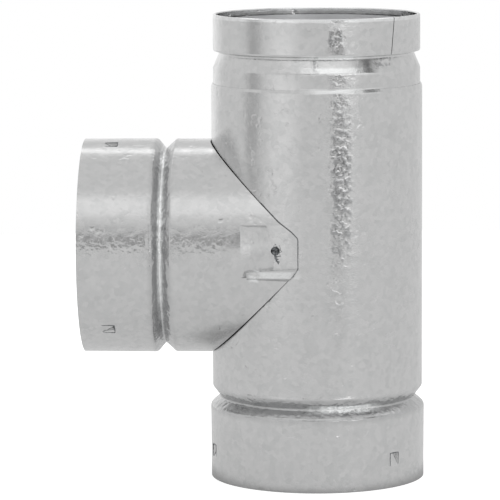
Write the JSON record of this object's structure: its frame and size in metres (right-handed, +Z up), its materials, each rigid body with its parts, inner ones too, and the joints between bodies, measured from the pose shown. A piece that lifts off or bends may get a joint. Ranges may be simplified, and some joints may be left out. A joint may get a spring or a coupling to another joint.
{
  "type": "gas vent tee",
  "caption": "Double wall gas vent tee: galvanised outer shell round an aluminium flue liner, with a male coupler on top and female collars with lock lugs below and at the side.",
  "frame": {"origin": "on the axis of the run, in the plane of the bottom rim", "axes": "+Z up along the run towards the male end; the branch leaves along -X; the front is -Y"},
  "size_m": [0.1846, 0.12, 0.2526],
  "materials": {
    "galvanised_steel": "hot dip galvanised sheet, satin with a fine spangle",
    "liner_aluminium": "plain mill finish sheet"
  },
  "bodies": {
    "root": {"run_shell": "galvanised_steel", "branch_shell": "galvanised_steel", "neck_sleeve": "galvanised_steel", "coupler_band": "galvanised_steel", "run_liner": "liner_aluminium", "branch_liner": "liner_aluminium"}
  },
  "joints": []
}
